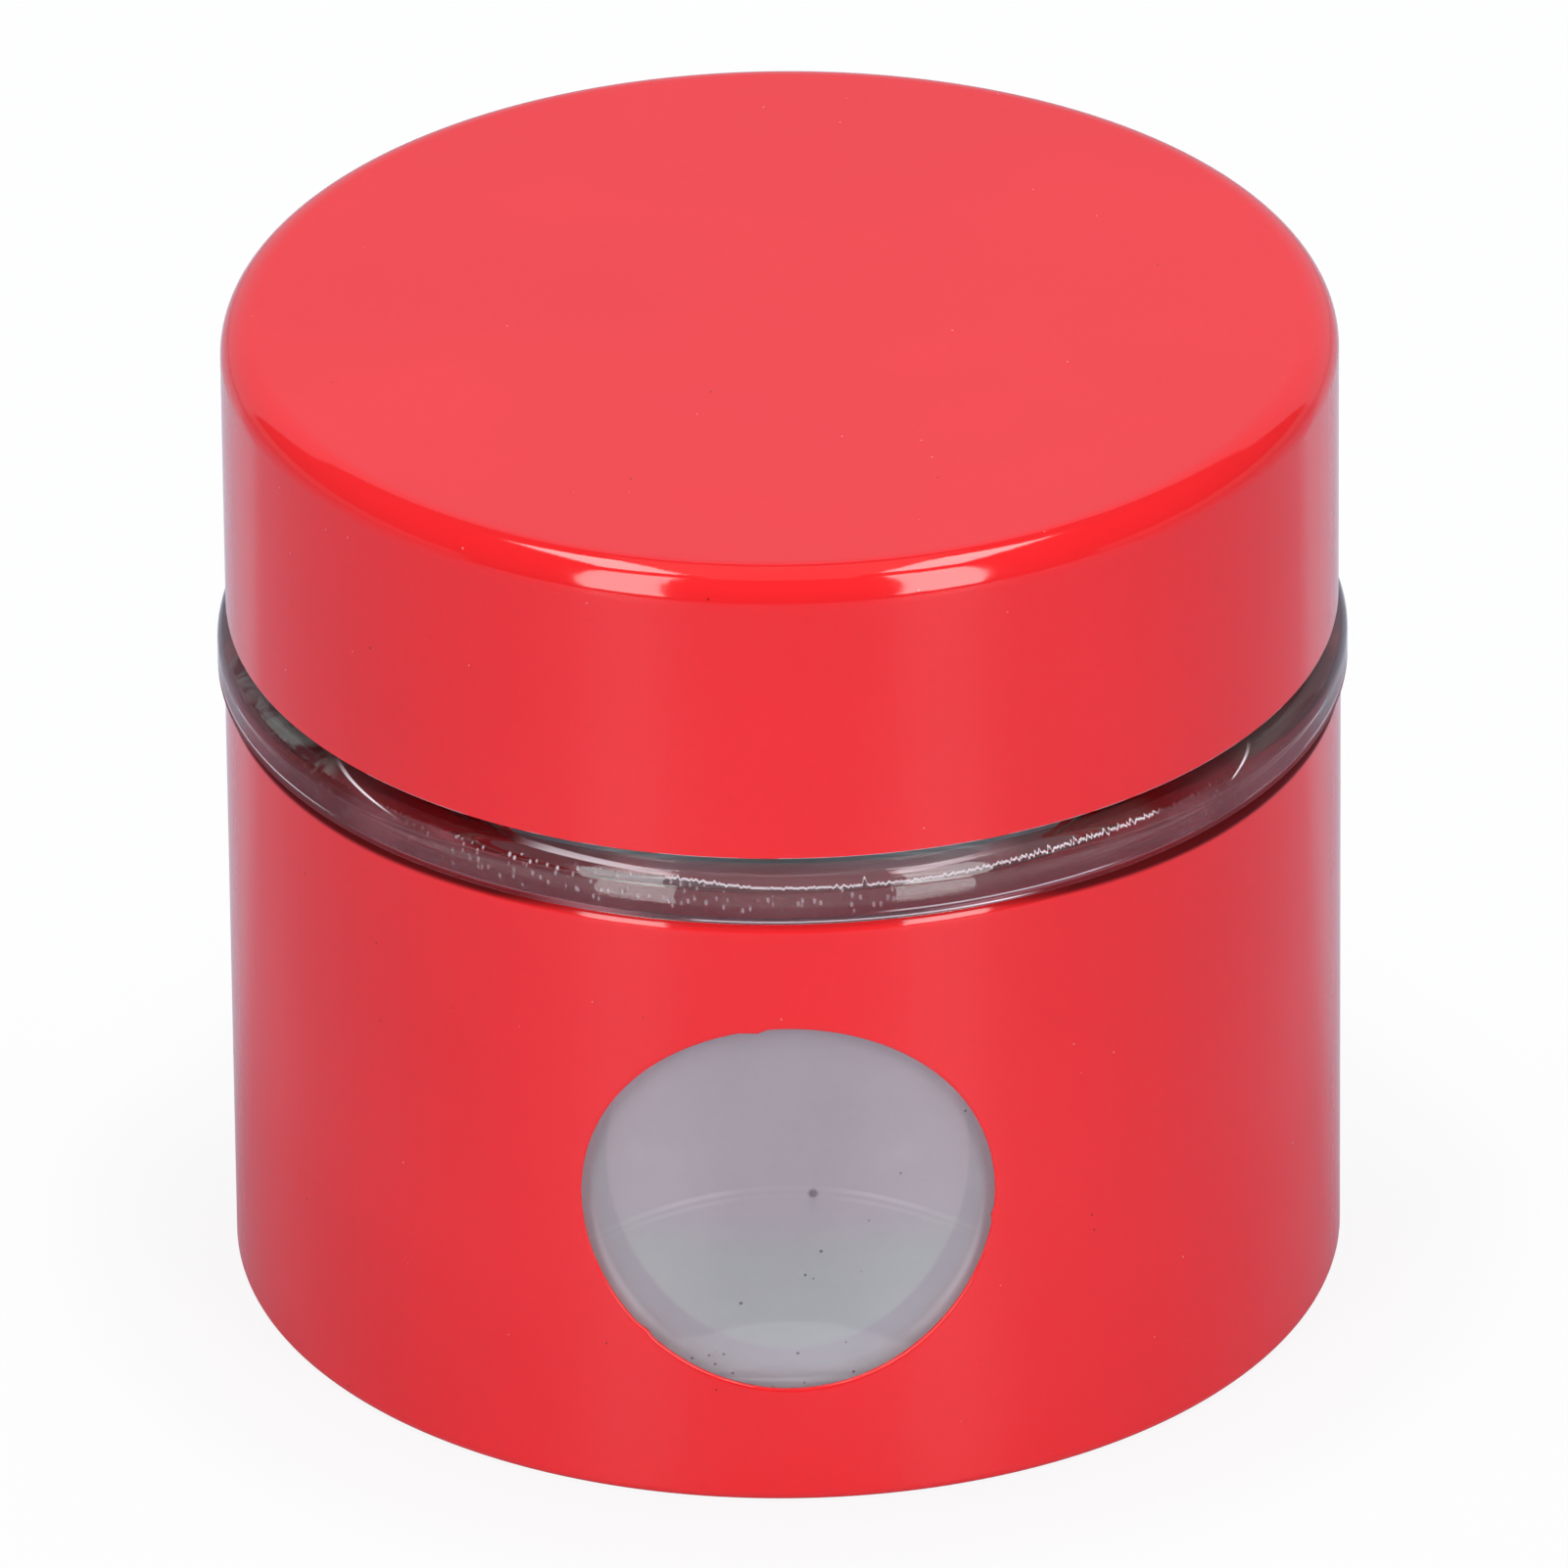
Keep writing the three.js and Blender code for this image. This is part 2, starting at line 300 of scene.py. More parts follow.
def jar_outline():
    """From the pip under the base up the outside, over the lip and down the inside to the floor."""
    pip = [(0, punt - pip_depth), (pip_radius / 2, punt - pip_depth), (pip_radius, punt)]
    bearing = (bearing_radius - bearing_width, jar_low.z)
    heel = arc(bearing_radius, jar_low.z + heel_bend, heel_bend, -90, 0)
    bead_root = (wall_radius, bead_foot)
    bead_edge = arc(bead_radius - bead_corner, bead_foot + bead_corner, bead_corner, -90, 0, 9)
    crest = arc(bead_radius - bead_crest, bead_level, bead_crest, 0, crest_turn, 3)
    inset = arc(neck_radius + fillet, fillet_level, fillet, 270, 180, 8)
    outer_lip = arc(neck_radius - lip, jar_high.z - lip, lip, 0, 90, 8)
    inner_lip = arc(mouth_radius + lip, jar_high.z - lip, lip, 90, 180, 8)
    inside = shoulder(steps=28)
    floor_corner = arc(wall_bore - corner, floor_level + corner, corner, 0, -90)
    return [
        *pip,
        *straight(pip[-1], bearing, flat_step),
        bearing,
        *straight(bearing, heel[0], ledge_step),
        *heel,
        *straight(heel[-1], bead_root, wall_step),
        bead_root,
        *straight(bead_root, bead_edge[0], bead_step),
        *bead_edge,
        *straight(bead_edge[-1], crest[0], bead_step),
        *crest,
        *straight(crest[-1], inset[0], bead_step),
        *inset,
        *straight(inset[-1], outer_lip[0], thread_step),
        *outer_lip,
        *inner_lip,
        *straight(inner_lip[-1], inside[0], ledge_step),
        *inside,
        *straight(inside[-1], floor_corner[0], wall_step),
        *floor_corner,
        *straight(floor_corner[-1], (0, floor_level), flat_step),
        (0, floor_level),
    ]


def window_haze_and_painted_light(start, place, x, z):
    """How much of the glass behind the sleeve's window is hazy, and the film's colour, with painted light
    and shade in it.
    """
    oval_level = 33.3 * MM
    oval_width = 16.07 * MM
    oval_height = 18.5 * MM
    arc_level = 31.2 * MM
    arc_curve = 22.0
    arc_double = 0.8 * MM
    mark_across = 2.2 * MM
    mark_level = 30.6 * MM
    aside = abs(x)
    above = z - window_level
    from_middle = start.maths("SQRT", x * x + above * above)
    behind = from_middle.rise(window_radius + 4 * MM, window_radius + 2 * MM)
    # Painted light: a thin ring at the window's sides is made paler, to lift the shade that the sheet's edge
    # casts on the glass.
    edge = from_middle.rise(window_radius - 1.2 * MM, window_radius - 0.3 * MM) * aside.rise(8 * MM, 16 * MM)
    # Painted light and shade: the film is lighter inside an oval set high in the window and towards its
    # sides, leaving a darker crescent along the window's sides and bottom as painted shade of its edge.
    wide = x / oval_width
    tall = (z - oval_level) / oval_height
    inside = (wide * wide + tall * tall).rise(1.03, 0.97)
    sides = aside.rise(3 * MM, 12 * MM)
    # Painted light: a pale double arc across the window, drawn on the film in place of the jar's floor seen
    # through the glass.
    over_arc = z - arc_level + x * x * arc_curve
    upper_line = abs(over_arc).rise(0.36 * MM, 0.1 * MM)
    lower_line = abs(over_arc + arc_double).rise(0.3 * MM, 0.1 * MM)
    beside_middle = aside.rise(3 * MM, 7 * MM) * aside.rise(16 * MM, 10 * MM)
    painted_arc = (upper_line + lower_line * 0.5) * (0.3 + beside_middle)
    # Painted light: the lower part of the oval is greener, for the light that falls through the window onto
    # the front of the jar's floor.
    low = z.rise(29 * MM, 23 * MM) * inside
    beside_mark = x - mark_across
    above_mark = z - mark_level
    from_mark = start.maths("SQRT", beside_mark * beside_mark + above_mark * above_mark)
    # A dark fleck on the film, and a faint painted shadow trailing below it.
    mark = from_mark.rise(0.65 * MM, 0.1 * MM)
    mark_shadow = abs(beside_mark).rise(0.7 * MM, 0.0) * above_mark.rise(-2.4 * MM, -0.3 * MM) * (above_mark < 0.0)
    dust = start.node("ShaderNodeTexVoronoi", None, {"Vector": place, "Scale": 1400.0}, "Distance")
    kind = start.node("ShaderNodeSeparateColor", None, {0: dust["Color"]})
    crowd = z.rise(16.5 * MM, 13 * MM) * abs(x + 2 * MM).rise(9 * MM, 5 * MM)
    specks = dust.rise(0.26, 0.16) * (kind["Red"] > 0.99 - crowd * 0.3)
    smudges = {"Vector": place, "Scale": 160.0, "Detail": 6.0, "Roughness": 0.8}
    cloud = start.node("ShaderNodeTexNoise", None, smudges)
    share = 0.347 + inside * (0.01 + sides * 0.04) + painted_arc * 0.05 + edge * 0.3 + cloud * 0.05
    colour = inside.blend((0.81, 0.83, 0.90, 1), (0.86, 0.82, 0.90, 1))
    colour = low.blend(colour, (0.80, 0.88, 0.89, 1))
    marked = start.maths("MAXIMUM", mark * 0.7 + mark_shadow * 0.1, specks * 0.8)
    return share * behind, marked.blend(colour, (0.10, 0.08, 0.10, 1))


def bead_film_and_painted_light(start, place, turn, z):
    """How much of the bead is filmed, and the film's colour: press marks, and painted highlights, shade and
    reflections.
    """
    seam_level = 62.6 * MM
    streak_level = 63.34 * MM
    streak_climb = 1.64 * MM
    foot_level = 59.8 * MM
    glint_level = 59.9 * MM
    corner_level = 59.32 * MM
    from_front = abs(turn)

    def between(angle, first, full, last, gone):
        """1 from the angle full to the angle last, in degrees, fading to 0 at first and at gone."""
        coming = angle.rise(math.radians(first), math.radians(full))
        return coming * angle.rise(math.radians(gone), math.radians(last))

    def line(first_level, first_angle, fall, half):
        """A thin line from a level at an angle, falling by a length per degree."""
        level = first_level - (turn - math.radians(first_angle)) * math.degrees(fall)
        return abs(z - level).rise(half, half * 0.4)

    jog = start.node("ShaderNodeTexNoise", {"noise_dimensions": "1D"}, {"W": turn * 30.0, "Detail": 3.0})
    sag = between(turn, -80, -79, -12, -1) * 0.5 + turn.rise(math.radians(12), math.radians(32)) * 0.4
    jump = between(turn, 7.7, 8, 8, 8.3) * 0.55
    rough = 0.5 + turn.rise(math.radians(16), math.radians(24)) * 0.5
    over_seam = z - seam_level - (sag + jump + (jog - 0.5) * rough) * MM
    below = over_seam.rise(0.04 * MM, -0.04 * MM)
    # The mould's wavy seam, drawn pale as a painted highlight.
    seam_highlight = abs(over_seam).rise(0.13 * MM, 0.06 * MM) * between(turn, -12.6, -11.6, 40, 42)
    # Painted highlights: pale streaks near the crest on both sides of the middle, where the lamps would
    # shine if the lid did not shade the bead.
    over_streak = z - streak_level - (from_front - math.radians(12)) * streak_climb
    painted_streak = between(turn, -30, -24, -13, -10) + between(turn, 10, 12, 16, 24)
    painted_streak = painted_streak * abs(over_streak).rise(0.2 * MM, 0.1 * MM)
    # Thin pale lines near both ends of the bead, near its top.
    end_lines = line(63.92 * MM, -53.7, 0.115 * MM, 0.1 * MM) * between(turn, -55, -51, -46, -42)
    end_lines = end_lines + line(63.9 * MM, 57.5, -0.24 * MM, 0.12 * MM) * between(turn, 51.5, 52.5, 54, 58)
    long = start.node("ShaderNodeVectorMath", {"operation": "MULTIPLY"}, {0: place, 1: (1, 1, 0.5)})
    grit = start.node("ShaderNodeTexVoronoi", None, {"Vector": long, "Scale": 1700.0}, "Distance")
    specks = grit.rise(0.36, 0.16) * (0.15 + between(turn, -48, -25, 5, 22) * 0.7)
    specks = specks * below * z.rise(foot_level + 0.1 * MM, foot_level + 0.5 * MM)
    # Painted reflections: mottled greenish-grey patches above the seam at the bead's ends and right of the
    # middle, for the surroundings seen in the glass.
    swirl = start.node("ShaderNodeTexNoise", None, {"Vector": place, "Scale": 170.0, "Distortion": 2.5})
    rings = 0.2 + (swirl.rise(0.36, 0.66) - 0.2) * turn.rise(0.1, -0.1)
    ends = between(from_front, 52, 58, 62, 70) * 0.5 + between(from_front, 52, 60, 78, 86) * 0.5
    painted_grey_patches = rings * (1 - below) * (ends + between(turn, 12, 18, 38, 42) * 0.4)
    # Painted highlights: thin pale glints along the bead's foot at both ends and right of the middle, and a
    # lower one across the middle.
    glint = between(turn, -86, -80, -62, -48) + between(turn, 8, 12, 32, 38) + between(turn, 62, 70, 80, 86)
    glint = glint * abs(z - glint_level).rise(0.1 * MM, 0.05 * MM)
    glint = glint + between(turn, -11, -8, 22, 27) * abs(z - corner_level).rise(0.1 * MM, 0.05 * MM)
    # Painted shade: the bottom of the bead is darkened away from the middle, for the shadow in the gap above
    # the sleeve's rim.
    foot = z.rise(foot_level, foot_level - 0.3 * MM) * from_front.rise(math.radians(12), math.radians(28))
    # Painted shade: a dark red-brown film above the seam at both sides, reaching lower on the left, for the
    # lid's shadow in the bead.
    painted_left_shade = z.rise(seam_level - 0.2 * MM, seam_level) * between(turn, -40, -32, -23, -20)
    shade = between(turn, -58, -50, -20, -12) + between(turn, 18, 26, 50, 58)
    shade = shade * start.maths("MAXIMUM", painted_left_shade, 1 - below)
    # Painted reflection: the film is a little denser above the seam in the middle, standing in for the
    # ceiling seen in the glass.
    middle = (1 - below) * from_front.rise(math.radians(22), math.radians(14))
    pale = start.maths("MAXIMUM", seam_highlight, start.maths("MAXIMUM", painted_streak * 0.75, end_lines + glint))
    # Painted light: the film is tinted pink for the red light inside the jar, redder above the seam and
    # paler below it.
    colour = below.blend((0.90, 0.24, 0.28, 1), (0.88, 0.36, 0.43, 1))
    colour = shade.blend(colour, (0.19, 0.006, 0.010, 1))
    colour = foot.blend(colour, (0.20, 0.010, 0.013, 1))
    # Painted shade: a dark red film at the bead's far ends, kept lighter on the lower right and lower left.
    bright = turn.rise(math.radians(45), math.radians(65))
    bright = bright + turn.rise(math.radians(-58), math.radians(-75)) * 0.5
    painted_side_shade = between(from_front, 40, 52, 78, 86) * (1 - below * bright)
    colour = painted_side_shade.blend(colour, (0.16, 0.035, 0.04, 1))
    colour = painted_grey_patches.blend(colour, (0.70, 0.74, 0.68, 1))
    colour = start.maths("MAXIMUM", pale, specks).blend(colour, (0.92, 0.86, 0.90, 1))
    dark = painted_side_shade * (1 - painted_grey_patches) * (0.3 + (1 - below) * 0.12)
    share = 0.07 + middle * 0.075 + shade * 0.38 + dark + foot * 0.7
    share = share + painted_grey_patches * 0.15 + specks * 0.25 + pale * 0.5
    return share, colour


def clear_glass():
    """Clear glass with a film in the window and on the bead that carries painted light and shade; it lets
    light through to what it shades.
    """
    material, start, place = finish("clear_glass")
    at = start.node("ShaderNodeSeparateXYZ", None, {0: place})
    radius = start.maths("SQRT", at["X"] * at["X"] + at["Y"] * at["Y"])
    turn = start.maths("ARCTAN2", at["X"], at["Y"] * -1)
    glass = start.node(
        "ShaderNodeBsdfPrincipled",
        None,
        {
            "Base Color": (0.97, 0.985, 0.98, 1),
            "Roughness": 0.0,
            "IOR": 1.52,
            "Transmission Weight": 1.0,
            "Normal": place.noise(90.0, 1.0).bump(0.04, 0.4 * MM),
        },
    )
    window_share, window_colour = window_haze_and_painted_light(start, place, at["X"], at["Z"])
    bead_share, bead_colour = bead_film_and_painted_light(start, place, turn, at["Z"])
    on_wall = (abs(radius - wall_radius) < 0.1 * MM) * (at["Y"] < 0.0)
    on_bead = (radius > wall_radius + 0.2 * MM) * (at["Z"] > bead_foot - 0.1 * MM)
    share = on_wall * window_share + on_bead * bead_share
    # The films hold dust and press marks, and the painted light and shade of the window and bead.
    window_film = {"Base Color": window_colour, "Roughness": 0.5}
    haze_and_painted_light = start.node("ShaderNodeBsdfPrincipled", None, window_film)
    dull = {"Base Color": bead_colour, "Roughness": 0.5, "Specular IOR Level": 0.1}
    marks_and_painted_light = start.node("ShaderNodeBsdfPrincipled", None, dull)
    film = start.node("ShaderNodeMixShader", None, {0: on_bead, 1: haze_and_painted_light, 2: marks_and_painted_light})
    filmed = start.node("ShaderNodeMixShader", None, {0: share, 1: glass, 2: film})
    clear = start.node("ShaderNodeBsdfTransparent", None, {"Color": (0.96, 0.975, 0.97, 1)})
    shadow = start.node("ShaderNodeLightPath", None, None, "Is Shadow Ray")
    lit = start.node("ShaderNodeMixShader", None, {0: shadow, 1: filmed, 2: clear})
    start.node("ShaderNodeOutputMaterial", None, {"Surface": lit})
    return material


thread_form = {
    "Lead": 18 * MM,
    "Height": 1.4 * MM,
    "Base": 2.9 * MM,
    "Crest": 1.1 * MM,
    "Turn": math.radians(140),
    "Fade": math.radians(18),
}
thread_angle = math.radians(-152)
thread_level = lid_low.z + 3 * MM
lathe_tree = lathe()
thread_tree = screw_thread(starts=3)
glass = clear_glass()
glass_thread = {
    **thread_form,
    "Wall Radius": neck_radius,
    "Side": 1.0,
    "First Angle": thread_angle,
    "First Level": thread_level,
    "Finish": glass,
}
glass_lathe = {"Facets": 240, "Finish": glass}
jar = turned("jar", jar_outline(), (lathe_tree, glass_lathe), (thread_tree, glass_thread))
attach(jar, "jar")
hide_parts("glass_jar")


# Glue: a bead of clear set glue in the corner between the glass heel and the foot of the sleeve, which
# it holds on the jar. It is run in before the jar is pushed home, so its top sinks to a hollow.
glue_low, glue_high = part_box("glue_ring")


def glue_outline():
    heel_level = jar_low.z + heel_bend
    size = 3.15 * MM
    sink = 0.12 * MM
    top = math.degrees(math.asin((glue_high.z - heel_level) / size))
    inner = arc(bearing_radius, heel_level, size, top, -70)
    middle = ((inner[0][0] + glue_high.x) / 2, glue_high.z - sink)
    low = (inner[-1][0], glue_low.z)
    outer = (glue_high.x, glue_low.z)
    high = (glue_high.x, glue_high.z)
    floor = [low, *straight(low, outer, bead_step), outer]
    return [*floor, *straight(outer, high, bead_step), high, middle, *inner, low]


def clear_glue():
    material, start, place = finish("clear_glue")
    cloud = place.noise(400.0, 3.0)
    colour = cloud.rise(0.35, 0.7).blend((0.80, 0.76, 0.66, 1), (0.62, 0.55, 0.42, 1))
    glue = start.node(
        "ShaderNodeBsdfPrincipled",
        None,
        {
            "Base Color": colour,
            "Roughness": 0.25,
            "IOR": 1.48,
            "Transmission Weight": 0.6,
            "Normal": cloud.bump(0.3, 0.3 * MM),
        },
    )
    start.node("ShaderNodeOutputMaterial", None, {"Surface": glue})
    return material


glue = turned("glue", glue_outline(), (lathe_tree, {"Facets": 180, "Finish": clear_glue()}))
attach(glue, "jar")
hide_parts("glue_ring")


# Sleeve: a tube of sheet steel, punched with a round window and lacquered bright red inside and out. Its
# rim is rolled in under the glass bead, its foot is turned in under the heel and the glue holds it there.
sheet = 0.6 * MM
rim_bend = 1.2 * MM
foot_bend = 0.9 * MM
foot_bore = bearing_radius - 3.3 * MM
rim_bore = wall_radius + 0.3 * MM
window_columns = 21
wall_columns = 288
window_rows = 42
window_reach = 23 * MM
window_rings = 12
sheet_step = 3 * MM
edge_steps = 8
burrs = ((98.9, 2.2, 0.33 * MM), (-134, 1.6, 0.2 * MM), (-8.2, 1.4, 0.16 * MM))


def sleeve_outline():
    """The sleeve's closed outline, and the numbers of its first rows by the window, outside and inside."""
    radius = sleeve_high.x
    height = sleeve_high.z
    window_low = window_level - window_reach
    rows = [window_low + 2 * window_reach * i / window_rows for i in range(window_rows + 1)]
    foot = arc(radius - foot_bend, foot_bend, foot_bend, -90, 0, 10)
    rim = arc(radius - rim_bend, height - rim_bend, rim_bend, 0, 90, 6)
    rim_inside = arc(radius - rim_bend, height - rim_bend, rim_bend - sheet, 90, 0, 10)
    foot_inside = arc(radius - foot_bend, foot_bend, foot_bend - sheet, 0, -90, 15)
    start = (foot_bore, 0)
    outside = [start, *straight(start, foot[0], sheet_step), *foot]
    below = straight(foot[-1], (radius, rows[0]), sheet_step)
    above = straight((radius, rows[-1]), rim[0], sheet_step)
    outside += below
    first_outside = len(outside)
    outside += [(radius, z) for z in rows] + above + rim
    bore = radius - sheet
    inside = [(rim_bore, height), (rim_bore, height - sheet), *rim_inside]
    inside += straight(rim_inside[-1], (bore, rows[-1]), sheet_step)
    first_inside = len(outside) + len(inside)
    inside += [(bore, z) for z in reversed(rows)]
    inside += straight((bore, rows[0]), foot_inside[0], sheet_step)
    inside += foot_inside
    end = (foot_bore, sheet)
    inside += [*straight(foot_inside[-1], end, sheet_step), end]
    return outside + inside, first_outside, first_inside


def on_tube(angle, height, depth):
    radius = sleeve_high.x - depth
    return Vector((radius * math.sin(angle), -radius * math.cos(angle), height))


def sleeve_mesh():
    outline, first_outside, first_inside = sleeve_outline()
    shape = bmesh.new()
    grid = []
    for radius, height in outline:
        ring = []
        for column in range(wall_columns):
            angle = 2 * math.pi * column / wall_columns
            ring.append(shape.verts.new((radius * math.sin(angle), -radius * math.cos(angle), height)))
        grid.append(ring)

    def by_window(row, column):
        beside = column < window_columns or column >= wall_columns - window_columns
        level = any(first <= row < first + window_rows for first in (first_outside, first_inside))
        return beside and level

    for row in range(len(outline)):
        after = (row + 1) % len(outline)
        for column in range(wall_columns):
            beyond = (column + 1) % wall_columns
            if not by_window(row, column):
                near = (grid[row][column], grid[row][beyond])
                shape.faces.new((*near, grid[after][beyond], grid[after][column]))

    def frame_of(first):
        """The vertices round the square that the window is set in, anticlockwise from its lower left."""
        last = first + window_rows
        low, high = (first, last) if first == first_outside else (last, first)
        step = 1 if high > low else -1
        columns = range(-window_columns, window_columns)
        loop = [grid[low][c] for c in columns]
        loop += [grid[r][window_columns] for r in range(low, high, step)]
        loop += [grid[high][-c] for c in columns]
        loop += [grid[r][-window_columns] for r in range(high, low, -step)]
        return loop

    def edge_point(turn, reach, depth):
        """A point of the window's edge, by its direction, its distance from the centre and its depth."""
        for burr, spread, size in burrs:
            reach -= size * math.exp(-((math.degrees(turn) - burr) / spread) ** 2)
        angle = math.asin(reach * math.cos(turn) / (sleeve_high.x - depth))
        return on_tube(angle, window_level + reach * math.sin(turn), depth)

    def join(loop, after):
        for i in range(len(loop)):
            j = (i + 1) % len(loop)
            shape.faces.new((loop[i], loop[j], after[j], after[i]))

    square = frame_of(first_outside)
    turns = []
    for vert in square:
        across = math.atan2(vert.co.x, -vert.co.y) / (2 * math.pi * window_columns / wall_columns)
        turns.append(math.atan2((vert.co.z - window_level) / window_reach, across))

    def rings_to_window(loop, depth):
        loops = [loop]
        for ring in range(1, window_rings + 1):
            share = 1 - (1 - ring / window_rings) ** 1.6
            verts = []
            for vert, turn in zip(loop, turns):
                edge = edge_point(turn, window_radius + sheet / 2, depth)
                angle = math.atan2(vert.co.x, -vert.co.y)
                edge_angle = math.atan2(edge.x, -edge.y)
                spot_angle = angle + (edge_angle - angle) * share
                spot_level = vert.co.z + (edge.z - vert.co.z) * share
                verts.append(shape.verts.new(on_tube(spot_angle, spot_level, depth)))
            loops.append(verts)
        return loops

    outer = rings_to_window(square, 0)
    inner = rings_to_window(frame_of(first_inside), sheet)
    lips = []
    for step in range(1, edge_steps):
        around = math.pi * step / edge_steps
        reach = window_radius + sheet / 2 - sheet / 2 * math.sin(around)
        depth = sheet / 2 - sheet / 2 * math.cos(around)
        lips.append([shape.verts.new(edge_point(turn, reach, depth)) for turn in turns])
    loops = outer + lips + inner[::-1]
    for loop, after in zip(loops, loops[1:]):
        join(loop, after)
    bmesh.ops.recalc_face_normals(shape, faces=shape.faces)
    mesh = bpy.data.meshes.new("jacket")
    shape.to_mesh(mesh)
    shape.free()
    mesh.polygons.foreach_set("use_smooth", [True] * len(mesh.polygons))
    mesh.set_sharp_from_angle(angle=sharp_angle)
    return mesh


def red_lacquer():
    """Bright red with dust in it, painted shade in the groove under the bead and bare steel on the lid's
    edge.
    """
    material, start, place = finish("red_lacquer")
    at = start.node("ShaderNodeSeparateXYZ", None, {0: place})
    shade = place.noise(30.0, 2.0)
    peel = place.noise(700.0, 1.0)
    swell = place.noise(45.0, 1.0)
    dust = start.node("ShaderNodeTexVoronoi", None, {"Vector": place, "Scale": 300.0}, "Distance")
    kind = start.node("ShaderNodeSeparateColor", None, {0: dust["Color"]})
    speck = dust.rise(0.04, 0.02)
    pimple = dust.rise(0.12, 0.0) * (kind["Green"] > 0.5)
    height = peel * 0.3 + swell + pimple * 1.2
    colour = shade.rise(0.3, 0.7).blend((0.86, 0.015, 0.018, 1), (0.90, 0.017, 0.021, 1))
    colour = (speck * (kind["Red"] > 0.5)).blend(colour, (0.90, 0.18, 0.19, 1))
    colour = (speck * (kind["Red"] < 0.2)).blend(colour, (0.18, 0.004, 0.006, 1))
    turn = start.maths("ARCTAN2", at["X"], at["Y"] * -1)
    # Painted shade: the sleeve's rim is darkened where it rolls in under the glass bead, most at the sides,
    # where it also turns matte and dark.
    reach = 0.5 + abs(turn).rise(math.radians(20), math.radians(55)) * 0.4 + turn.rise(0.3, 0.9) * 0.4
    on_sleeve = at["Z"] < lid_low.z - 1 * MM
    under_bead = (at["Z"] - sleeve_high.z + reach * MM).rise(-0.45 * MM, 0.1 * MM) * on_sleeve
    dull = under_bead * abs(turn).rise(math.radians(18), math.radians(32))
    colour = (under_bead * 0.35).blend(colour, (0.12, 0.003, 0.004, 1))
    chips = place.noise(160.0, 2.0)
    bare = abs(at["Z"] - lid_low.z).rise(0.13 * MM, 0.06 * MM) * chips.rise(0.44, 0.52)
    paint = start.node(
        "ShaderNodeBsdfPrincipled",
        None,
        {
            "Base Color": bare.blend(colour, (0.80, 0.76, 0.78, 1)),
            "Metallic": bare * 0.6,
            "Roughness": 0.08 + bare * 0.3,
            "IOR": 1.6,
            "Normal": height.bump(0.02, 1 * MM),
        },
    )
    dark = {"Base Color": (0.10, 0.002, 0.003, 1), "Roughness": 0.6, "Specular IOR Level": 0.1}
    painted_shade = start.node("ShaderNodeBsdfPrincipled", None, dark)
    paint_and_shade = start.node("ShaderNodeMixShader", None, {0: dull, 1: paint, 2: painted_shade})
    start.node("ShaderNodeOutputMaterial", None, {"Surface": paint_and_shade})
    return material


lacquer = red_lacquer()
jacket_mesh = sleeve_mesh()
jacket_mesh.materials.append(lacquer)
jacket = bpy.data.objects.new("jacket", jacket_mesh)
bpy.context.scene.collection.objects.link(jacket)
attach(jacket, "jar")
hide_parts("sleeve")


# Lid shell: a cap of sheet steel, deep-drawn with a flat top and a rounded edge and lacquered like the
# sleeve. Its lower edge is cut straight off, and the plastic screw cap is pressed into it.
lid_sheet = 0.5 * MM
lid_edge = 3.2 * MM
cut_round = 0.12 * MM


def lid_outline():
    centre = lid_high.x - lid_edge
    level = lid_high.z - lid_edge
    bore = lid_high.x - lid_sheet
    under_top = (0, lid_high.z - lid_sheet)
    inner = arc(centre, level, lid_edge - lid_sheet, 90, 0)
    inner_cut = arc(bore + cut_round, lid_low.z + cut_round, cut_round, 180, 270, 15)
    outer_cut = arc(lid_high.x - cut_round, lid_low.z + cut_round, cut_round, 270, 360, 15)
    outer = arc(centre, level, lid_edge, 0, 90, 3)
    middle = (0, lid_high.z)
    return [
        under_top,
        *straight(under_top, inner[0], flat_step),
        *inner,
        *straight(inner[-1], inner_cut[0], flat_step),
        *inner_cut,
        *outer_cut,
        *straight(outer_cut[-1], outer[0], flat_step),
        *outer,
        *straight(outer[-1], middle, flat_step),
        middle,
    ]


cap = turned("cap", lid_outline(), (lathe_tree, {"Facets": 288, "Finish": lacquer}))
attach(cap, "lid")
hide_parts("lid_shell")


# Screw cap: satin near-black plastic, moulded with the inner thread and with a short ring that plugs the
# jar's mouth. It is pressed into the lid shell.
insert_low, insert_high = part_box("thread_insert")
insert_bore = insert_high.x - 1.8 * MM
ceiling = insert_high.z - 1.6 * MM
plug_radius = mouth_radius - 0.6 * MM
plug_bore = plug_radius - 1.2 * MM
plug_foot = ceiling - 3.5 * MM
plug_round = 0.6 * MM
cap_thread_step = 0.16 * MM


